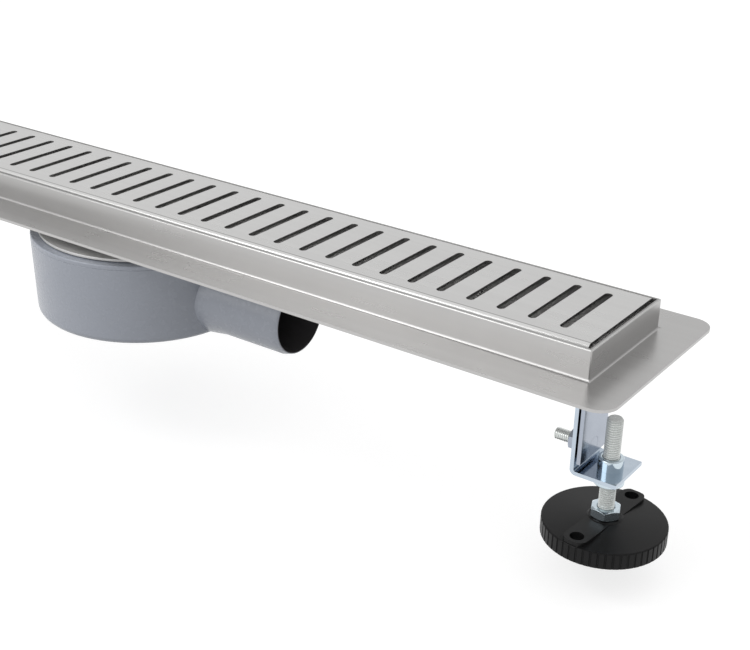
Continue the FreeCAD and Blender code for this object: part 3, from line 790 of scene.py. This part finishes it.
def folded_strip(name, path, bends, width, thickness, outward):
    """Fold a strip along a path of (x, z) points with a bend radius at each inner one."""
    deselect()
    bpy.ops.mesh.primitive_plane_add(size=1, location=(0, 0, 0))
    made = named(name)
    made.scale = (0.001, width, 1)
    fix_place(made)
    pick(made, "VERT", lambda c: c.x > 0)
    bpy.ops.mesh.delete(type="VERT")
    pick(made, "EDGE", lambda a, b: True)
    bpy.ops.transform.translate(value=(path[0][0] + 0.0005, 0, path[0][1]))
    for (x, z), (next_x, next_z) in zip(path, path[1:]):
        bpy.ops.mesh.extrude_edges_move(
            TRANSFORM_OT_translate={"value": (next_x - x, 0, next_z - z)})
    for (x, z), bend in zip(path[1:-1], bends):
        pick(made, "EDGE", lambda a, b: all(
            close(point.x, x) and close(point.z, z) for point in (a, b)))
        bpy.ops.mesh.bevel(offset=bend, segments=6, affect="EDGES")
    deselect()
    if made.data.polygons[0].normal.dot(Vector(outward)) < 0:
        pick(made, "FACE", lambda c, n: True)
        bpy.ops.mesh.flip_normals()
    use_modifier(made, "SOLIDIFY", thickness=thickness, offset=-1, use_even_offset=True)
    return made


def other_end(made, name):
    """Copy a piece for the other foot, turned half round about the drain's middle."""
    copy = made.copy()
    copy.data = made.data.copy()
    bpy.context.collection.objects.link(copy)
    copy.name = name
    copy.data.name = name
    copy.rotation_euler = (0, 0, math.pi)
    return fix_place(copy)


def plated_steel(name, dark, light, rough, thread=None, metal=1.0):
    """Make bright zinc plate, faintly clouded and streaked, with painted shade in a thread's
    grooves.
    """
    finish, nodes, links, shader = new_finish(name, light, metal, rough)
    place = nodes.new("ShaderNodeTexCoord")
    clouds = add_noise(nodes, links, place, (1, 1, 1), 110.0, 3.0)
    colour = tint(nodes, links, spread(nodes, links, clouds, 0.0, 1.0), dark, light)
    if thread is not None:
        # Painted shade: the colour darkens towards a thread's roots, by distance from its axis.
        centre, across, root_r, crest_r = thread
        mirrored = nodes.new("ShaderNodeVectorMath")
        mirrored.operation = "ABSOLUTE"
        from_axis = nodes.new("ShaderNodeVectorMath")
        from_axis.operation = "SUBTRACT"
        from_axis.inputs[1].default_value = centre
        sideways = nodes.new("ShaderNodeVectorMath")
        sideways.operation = "MULTIPLY"
        sideways.inputs[1].default_value = across
        reach = nodes.new("ShaderNodeVectorMath")
        reach.operation = "LENGTH"
        links.new(place.outputs["Object"], mirrored.inputs[0])
        links.new(mirrored.outputs["Vector"], from_axis.inputs[0])
        links.new(from_axis.outputs["Vector"], sideways.inputs[0])
        links.new(sideways.outputs["Vector"], reach.inputs[0])
        depth = spread(nodes, links, reach.outputs["Value"], 0.0, 1.0, root_r, crest_r)
        groove_painted_shade = nodes.new("ShaderNodeMix")
        groove_painted_shade.data_type = "RGBA"
        groove_painted_shade.inputs["A"].default_value = (0.70, 0.72, 0.71, 1)
        links.new(depth, groove_painted_shade.inputs["Factor"])
        links.new(colour, groove_painted_shade.inputs["B"])
        colour = groove_painted_shade.outputs["Result"]
    links.new(colour, shader.inputs["Base Color"])
    grain = add_noise(nodes, links, place, (1, 1, 0.25), 1800.0, 2.0)
    links.new(spread(nodes, links, grain, rough - 0.03, rough + 0.05), shader.inputs["Roughness"])
    emboss(nodes, links, shader, clouds, 0.00003, 0.3)
    return finish


zinc_plate = plated_steel("zinc_plate", (0.46, 0.53, 0.61), (0.51, 0.58, 0.66), 0.12)
dull_zinc = plated_steel("dull_zinc_plate", (0.35, 0.385, 0.45), (0.39, 0.425, 0.49), 0.16)
hanger = folded_strip(
    "hanger_strip",
    [(hanger_low.x, hanger_high.z), (web_front, hanger_high.z), (web_front, step_top),
     (tab_front, step_top), (tab_front, hanger_low.z)],
    [leg_bend, step_bend, tab_bend], hanger_high.y - hanger_low.y, plate_sheet, (0, 0, 1))
cut(hanger, lie_along_x(add_bar(
    "stud_hole", stud_head_r, (0, 0, tab_front - 2 * plate_sheet),
    (0, 0, tab_front + cut_past), sides=48), stud_z))
ease_edges(hanger, plate_ease)
smooth(hanger)
put_on(hanger, dull_zinc)
hangers = {"right": hanger, "left": other_end(hanger, "hanger_strip_left")}
for side, piece in hangers.items():
    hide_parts("hanger_" + side)
    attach(piece, "drain")


# The angle bracket is pressed from the same plate. Its upright leg has a slot, so that it
# can be set a few millimetres up or down on the stud, and its flat leg is bored for the
# bush. It ends just under the hanger's step, and the stud's head keeps it off the tab.
bracket_low, bracket_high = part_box("bracket_right")
bush_low, bush_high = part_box("bush_right")
bush_r = 0.0062
slot_r = 0.0032
slot_travel = 0.005
bracket_bend = 0.003
bracket = folded_strip(
    "bracket_angle",
    [(bracket_low.x, bracket_high.z), (bracket_low.x, bracket_low.z),
     (bracket_high.x, bracket_low.z)],
    [bracket_bend], bracket_high.y - bracket_low.y, plate_sheet, (-1, 0, 0))
slot_tool = add_bar(
    "bracket_slot", slot_r, (0, 0, bracket_low.x - cut_past),
    (0, 0, bracket_low.x + plate_sheet + cut_past), sides=32, turn=math.pi / 32)
pick(slot_tool, "VERT", lambda c: c.x < 0)
bpy.ops.transform.translate(value=(-slot_travel, 0, 0))
deselect()
cut(bracket, lie_along_x(slot_tool, stud_z))
cut(bracket, add_bar(
    "bush_hole", bush_r, (foot_x, 0, bracket_low.z - cut_past),
    (foot_x, 0, bracket_low.z + plate_sheet + cut_past), sides=64))
ease_edges(bracket, plate_ease)
smooth(bracket)
put_on(bracket, zinc_plate)
brackets = {"right": bracket, "left": other_end(bracket, "bracket_angle_left")}
for side, piece in brackets.items():
    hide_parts("bracket_" + side)
    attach(piece, "drain")


# The stud is an M6 clinch bolt. Its round head is flush with the tab's face, its rolled
# thread passes back through the bracket's slot, and a washer and a hexagon nut hold the
# bracket on it.
stud_r = 0.003
stud_pitch = 0.001
stud_chamfer = 0.0006
thread_depth = 0.6134


def threaded(name, radius, pitch, low, high, chamfer, centre=(0, 0)):
    """Screw one tooth's outline round an upright axis and trim it to a chamfered rod."""
    root_r = radius - thread_depth * pitch
    tooth = [(root_r, 0.25), (radius, 0.5625), (radius, 0.6875), (root_r, 1.0)]
    start_z = low - 3 * pitch
    past = 0.37 * pitch
    deselect()
    bpy.ops.mesh.primitive_plane_add(size=0.001, location=(0, 0, 0))
    made = named(name)
    bpy.ops.object.mode_set(mode="EDIT")
    bpy.ops.mesh.select_mode(type="VERT")
    bpy.ops.mesh.select_all(action="SELECT")
    bpy.ops.mesh.merge(type="CENTER")
    at = Vector((root_r, 0, start_z))
    bpy.ops.transform.translate(value=at)
    for reach, share in tooth:
        point = Vector((reach, 0, start_z + share * pitch))
        bpy.ops.mesh.extrude_vertices_move(TRANSFORM_OT_translate={"value": point - at})
        at = point
    bpy.ops.object.mode_set(mode="OBJECT")
    turns = math.ceil((high - low) / pitch) + 6
    use_modifier(
        made, "SCREW", axis="Z", angle=2 * math.pi, screw_offset=pitch, iterations=turns,
        steps=28, render_steps=28)
    merge_doubles(made)
    for level, way in ((low - past, -1), (high + past, 1)):
        pick(made, "VERT", lambda c: True)
        bpy.ops.mesh.bisect(
            plane_co=(0, 0, level), plane_no=(0, 0, way), use_fill=True, clear_outer=True,
            threshold=1e-7)
    bpy.ops.mesh.select_all(action="SELECT")
    bpy.ops.mesh.normals_make_consistent(inside=False)
    deselect()
    rim = 0.0002
    cut(made, turned("thread_trim", [
        (0, low, 0), (radius - chamfer, low, 0), (radius + rim, low + chamfer + rim, 0),
        (radius + rim, high - chamfer - rim, 0), (radius - chamfer, high, 0), (0, high, 0)],
        steps=56), "INTERSECT")
    made.location = (centre[0], centre[1], 0)
    return fix_place(made)


stud = threaded("stud_thread", stud_r, stud_pitch, stud_low.x, web_front, stud_chamfer)
head_back = web_front - 0.0001
head_round = 0.00015
stud_head = turned("stud_head", [
    (0, head_back, 0), (stud_head_r, head_back, 0),
    (stud_head_r, tab_front, head_round), (0, tab_front, 0)], steps=48)
cut(stud, stud_head, "UNION")
lie_along_x(stud, stud_z)
smooth(stud, 30)
# The stud's plate is painted darker in its thread's grooves, a painted shade.
stud_plate = plated_steel(
    "stud_plate", (0.86, 0.88, 0.86), (0.93, 0.95, 0.93), 0.24,
    ((0, 0, stud_z), (0, 1, 1), stud_r - thread_depth * stud_pitch, stud_r), 0.8)
put_on(stud, stud_plate)
stud.data.materials.append(dull_zinc)
pick(stud, "FACE", lambda c, n: c.x > web_front)
stud.active_material_index = 1
bpy.ops.object.material_slot_assign()
deselect()
studs = {"right": stud, "left": other_end(stud, "stud_thread_left")}
for side, piece in studs.items():
    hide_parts("stud_" + side)
    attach(piece, "drain")


def hexagon_nut(name, flats, low, high, bore, centre=(0, 0), turn=0.0):
    """Make a hexagon nut: chamfered corners and a countersunk thread."""
    corner_r = flats / math.sqrt(3)
    face_r = flats / 2 - 0.0003
    drop = (corner_r - face_r) * math.tan(math.radians(30))
    past_corner = corner_r + 0.00005
    sink = 0.0006
    past_top = 0.0004
    made = add_bar(name, corner_r, (*centre, low), (*centre, high), sides=6, turn=turn)
    cut(made, turned("nut_chamfer", [
        (0, low, 0), (face_r, low, 0), (past_corner, low + drop, 0),
        (past_corner, high - drop, 0), (face_r, high, 0), (0, high, 0)],
        centre, steps=72), "INTERSECT")
    cut(made, turned("nut_bore", [
        (0, low - cut_past, 0), (bore, low - cut_past, 0), (bore, high - sink, 0),
        (bore + sink + past_top, high + past_top, 0), (0, high + past_top, 0)],
        centre, steps=48))
    ease_edges(made, 0.00012)
    return smooth(made, 28)


nut_low, nut_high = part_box("stud_nut_right")
washer_low, washer_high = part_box("stud_washer_right")
washer_bore = 0.0032
washer_r = 0.006
thread_play = 0.00005
stud_nut = hexagon_nut(
    "stud_hexagon_nut", nut_high.y - nut_low.y, nut_low.x, nut_high.x,
    stud_r + thread_play, turn=math.pi / 6)
lie_along_x(stud_nut, stud_z)
put_on(stud_nut, dull_zinc)
washer = turned("stud_flat_washer", [
    (washer_bore, washer_low.x, 0), (washer_r, washer_low.x, plate_ease),
    (washer_r, washer_high.x, 0), (washer_bore, washer_high.x, 0)], steps=64)
lie_along_x(washer, stud_z)
smooth(washer)
put_on(washer, dull_zinc)
for node, made in (("stud_nut_", stud_nut), ("stud_washer_", washer)):
    for side, piece in (("right", made), ("left", other_end(made, made.name + "_left"))):
        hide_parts(node + side)
        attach(piece, "drain")


# The bush is a turned steel nut with a round body. It is pressed up through the bracket's
# flat leg until its collar stops under the plate, and the foot's rod screws through it.
rod_r = 0.004
rod_pitch = 0.00125
rod_bore = rod_r + thread_play
collar_r = 0.0074
collar_round = 0.0004
bush_round = 0.0008
mouth_round = 0.0007
bush = turned("bush_body", [
    (rod_bore, bush_low.z, fine_round), (collar_r, bush_low.z, collar_round),
    (collar_r, bracket_low.z, plate_ease), (bush_r, bracket_low.z, 0),
    (bush_r, bush_high.z, bush_round), (rod_bore, bush_high.z, mouth_round)],
    (foot_x, 0), steps=72)
smooth(bush, 30)
bright_zinc = plated_steel(
    "bright_zinc_plate", (0.58, 0.67, 0.73), (0.64, 0.73, 0.79), 0.10, metal=0.93)
put_on(bush, bright_zinc)
bushes = {"right": bush, "left": other_end(bush, "bush_body_left")}
for side, piece in bushes.items():
    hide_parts("bush_" + side)
    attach(piece, "drain")


# The rod is M8, with a rolled thread from end to end and a whiter zinc plate. Its foot
# turns in the pad's socket, and a hexagon nut locked just above the pad lets a spanner
# turn it to set the height.
rod_low, rod_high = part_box("rod_right")
rod_nut_low, rod_nut_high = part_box("rod_nut_right")
rod_nut_flats = 0.0136
rod_nut_turn = math.radians(-38)
rod_chamfer = 0.0008
rod = threaded(
    "threaded_rod", rod_r, rod_pitch, rod_low.z, rod_high.z, rod_chamfer, (foot_x, 0))
smooth(rod, 30)
# The rod's plate is painted darker in its thread's grooves, a painted shade.
rod_plate = plated_steel(
    "rod_plate", (0.93, 0.96, 0.94), (0.97, 1.0, 0.98), 0.24,
    ((foot_x, 0, 0), (1, 1, 0), rod_r - thread_depth * rod_pitch, rod_r), 0.28)
put_on(rod, rod_plate)
rod_nut = hexagon_nut(
    "rod_hexagon_nut", rod_nut_flats, rod_nut_low.z, rod_nut_high.z, rod_bore,
    (foot_x, 0), rod_nut_turn)
put_on(rod_nut, bright_zinc)
for node, made in (("rod_", rod), ("rod_nut_", rod_nut)):
    for side, piece in (("right", made), ("left", other_end(made, made.name + "_left"))):
        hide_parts(node + side)
        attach(piece, "spindle_" + side)


# The pad is a black plastic moulding: a low dome with a finely fluted edge to grip it by,
# a socket for the rod in its middle, and a raised bar with two screw lugs. It is hollow
# underneath, with eight ribs.
pad_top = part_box("foot_pad_right")[1].z
pad_r = 0.0305
pad_rim = 0.0085
pad_wall_r = 0.0273
pad_skin = 0.0025
pad_dome = 0.0104
pad_boss_r = 0.0085
pad_base = 0.004
pad_foot_round = 0.0006
pad_rim_round = 0.0007
pad_hollow_round = 0.0005
boss_foot_round = 0.0008
boss_taper = 0.0006
rib_count = 8
rib_half = 0.0009
rib_lift = 0.001
flute_count = 54
flute_r = 0.00055
lug_r = 0.0062
lug_top = 0.0106
lug_spread = 0.0245
lug_hole_r = 0.0035
lug_turn = math.radians(84.5)
pad = turned("pad_moulding", [
    (0, pad_base - pad_skin, 0), (pad_boss_r, pad_base - pad_skin, 0),
    (pad_boss_r, pad_dome - pad_skin, 0), (pad_wall_r, pad_rim - pad_skin, pad_hollow_round),
    (pad_wall_r, 0, plate_ease), (pad_r, 0, pad_foot_round),
    (pad_r, pad_rim, pad_rim_round), (pad_boss_r, pad_dome, boss_foot_round),
    (pad_boss_r - boss_taper, pad_top, fine_round), (0, pad_top, 0)], steps=216)
for number in range(rib_count):
    rib = add_box(
        "pad_rib", (pad_boss_r - cut_past, -rib_half, rib_lift),
        (pad_wall_r + cut_past, rib_half, pad_rim - pad_skin / 2))
    rib.rotation_euler = (0, 0, 2 * math.pi / rib_count * (number + 0.5))
    cut(pad, fix_place(rib), "UNION")
bar = add_box(
    "lug_bar", (-lug_spread, -lug_r, pad_rim - pad_skin), (lug_spread, lug_r, lug_top))
for side in (-1, 1):
    cut(bar, add_bar(
        "lug", lug_r, (side * lug_spread, 0, rib_lift), (side * lug_spread, 0, lug_top),
        sides=48), "UNION")
cut(bar, add_bar(
    "lug_trim", pad_r - pad_rim_round, (0, 0, 0), (0, 0, lug_top + cut_past), sides=216),
    "INTERSECT")
cut(bar, add_bar(
    "boss_trim", pad_boss_r - cut_past, (0, 0, 0), (0, 0, lug_top + cut_past), sides=72))
ease_edges(bar, fine_round)
cut(pad, bar, "UNION")
for side in (-1, 1):
    cut(pad, add_bar(
        "lug_hole", lug_hole_r, (side * lug_spread, 0, -cut_past),
        (side * lug_spread, 0, lug_top + cut_past), sides=48))
flute = add_bar(
    "flute_cutter", flute_r, (pad_r, 0, -cut_past), (pad_r, 0, pad_rim + cut_past),
    sides=10)
cutters = []
for number in range(1, flute_count):
    copy = flute.copy()
    copy.data = flute.data.copy()
    bpy.context.collection.objects.link(copy)
    copy.rotation_euler = (0, 0, 2 * math.pi * number / flute_count)
    cutters.append(copy)
deselect()
for copy in cutters + [flute]:
    copy.select_set(True)
bpy.context.view_layer.objects.active = flute
bpy.ops.object.join()
fix_place(flute)
cut(pad, flute)
cut(pad, add_bar(
    "rod_socket", rod_bore, (0, 0, pad_base), (0, 0, pad_top + cut_past), sides=48))
pad.rotation_euler = (0, 0, lug_turn)
pad.location = (foot_x, 0, 0)
fix_place(pad)
smooth(pad, 30)
black_plastic = moulded_plastic(
    "black_polyamide", (0.008, 0.008, 0.0083), (0.012, 0.012, 0.0124), 0.36, 1300.0,
    0.00002, 0.17)
put_on(pad, black_plastic)
pads = {"right": pad, "left": other_end(pad, "pad_moulding_left")}
for side, piece in pads.items():
    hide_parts("foot_pad_" + side)
    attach(piece, "foot_pad_body_" + side)
